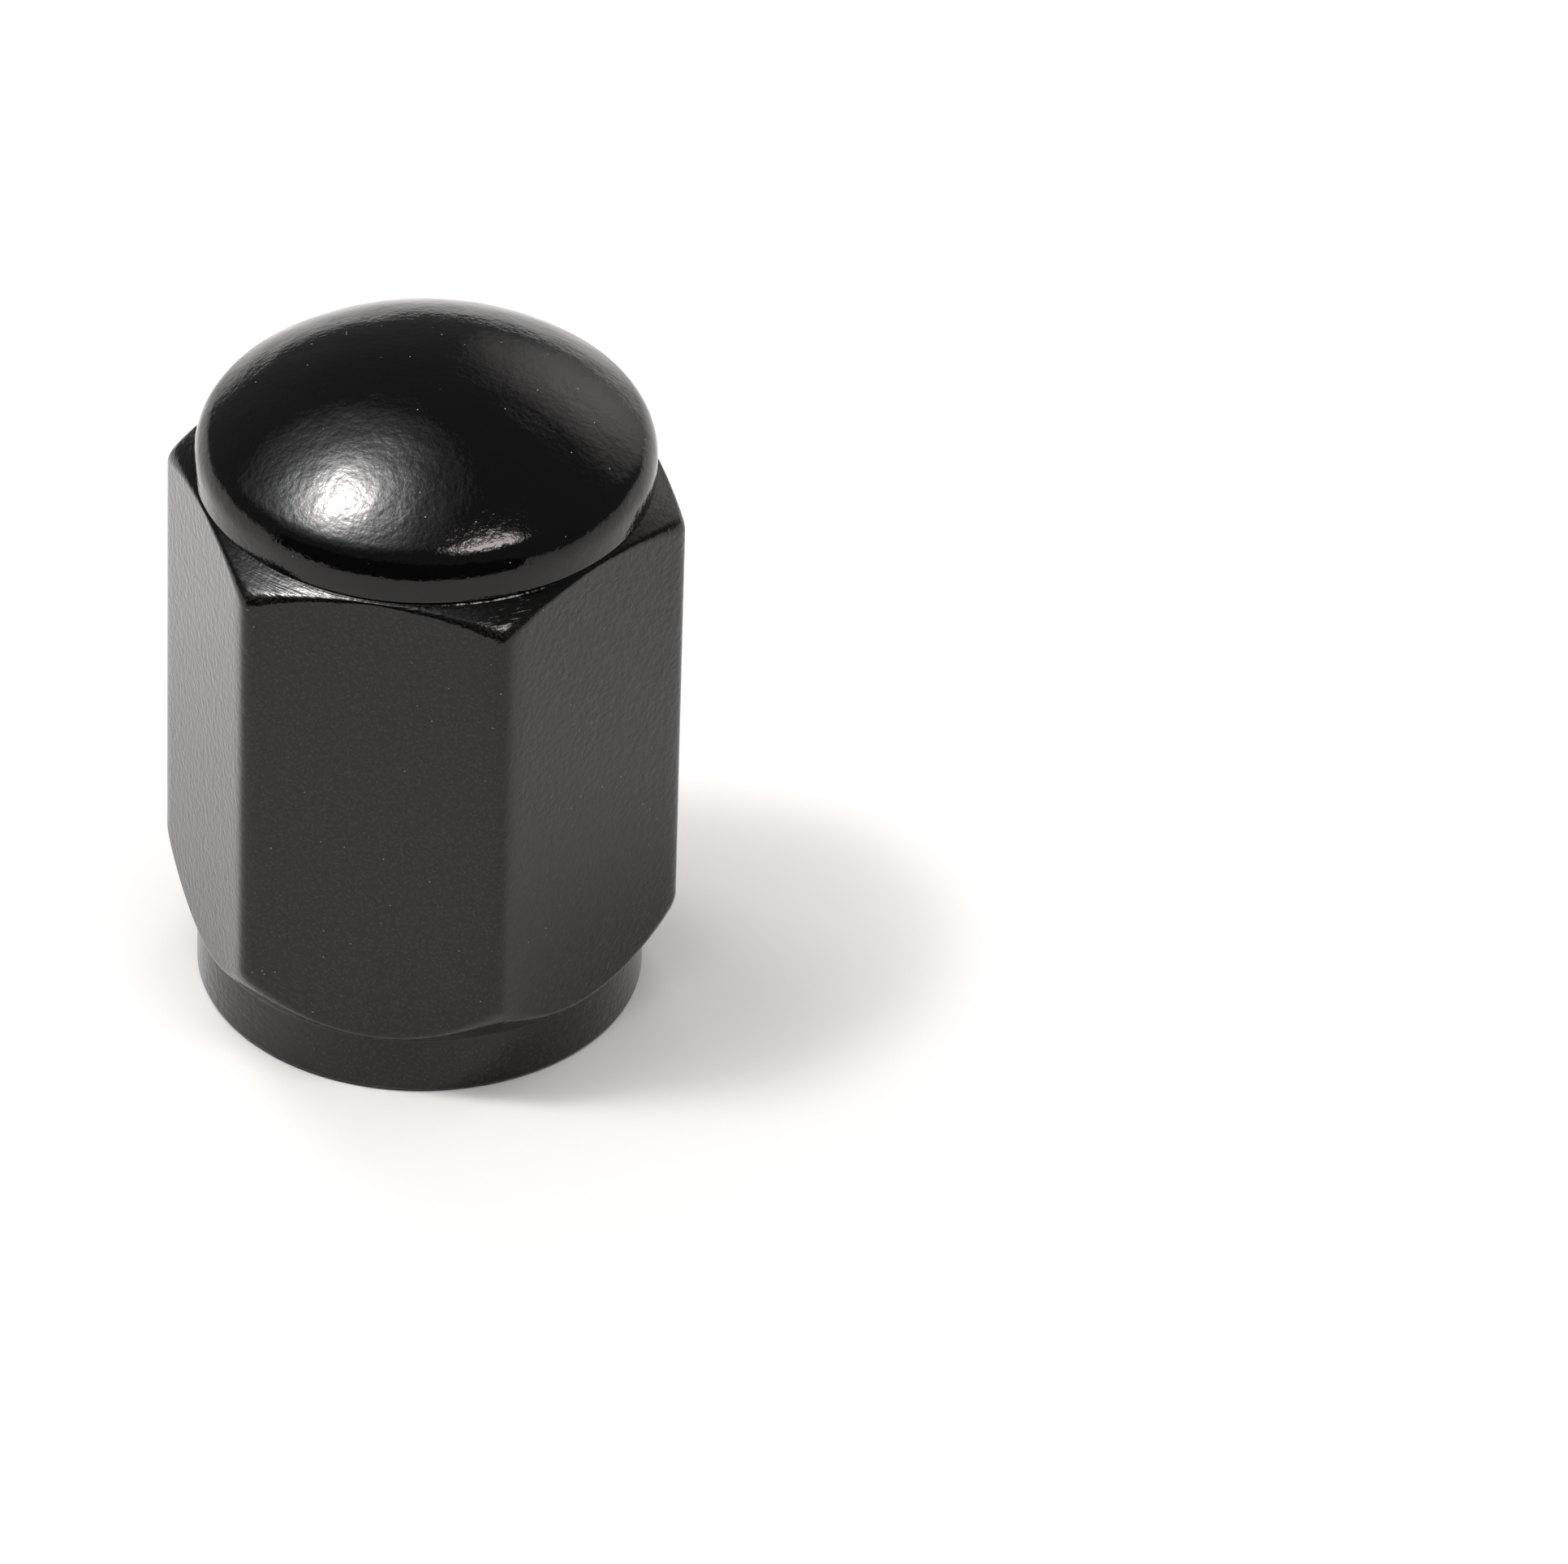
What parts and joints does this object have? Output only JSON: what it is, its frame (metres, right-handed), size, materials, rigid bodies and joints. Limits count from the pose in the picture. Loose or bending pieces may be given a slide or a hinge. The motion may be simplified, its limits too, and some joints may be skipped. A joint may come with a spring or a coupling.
{
  "type": "tyre valve cap",
  "caption": "Hexagonal metal tyre valve cap with a low domed head, turned chamfers, a plain collar and a blind threaded bore with a rubber washer.",
  "frame": {"origin": "centre of the open end's rim, on the surface that the cap stands on", "axes": "+Z along the cap's axis from the open end to the domed head, two of the six flats facing along +Y and -Y"},
  "size_m": [0.0114, 0.01, 0.0161],
  "materials": {
    "black_paint": "semi-gloss black paint over turned aluminium",
    "washer_rubber": "matt sheet rubber"
  },
  "bodies": {
    "root": {"cap_body": "black_paint", "sealing_washer": "washer_rubber"}
  },
  "joints": []
}
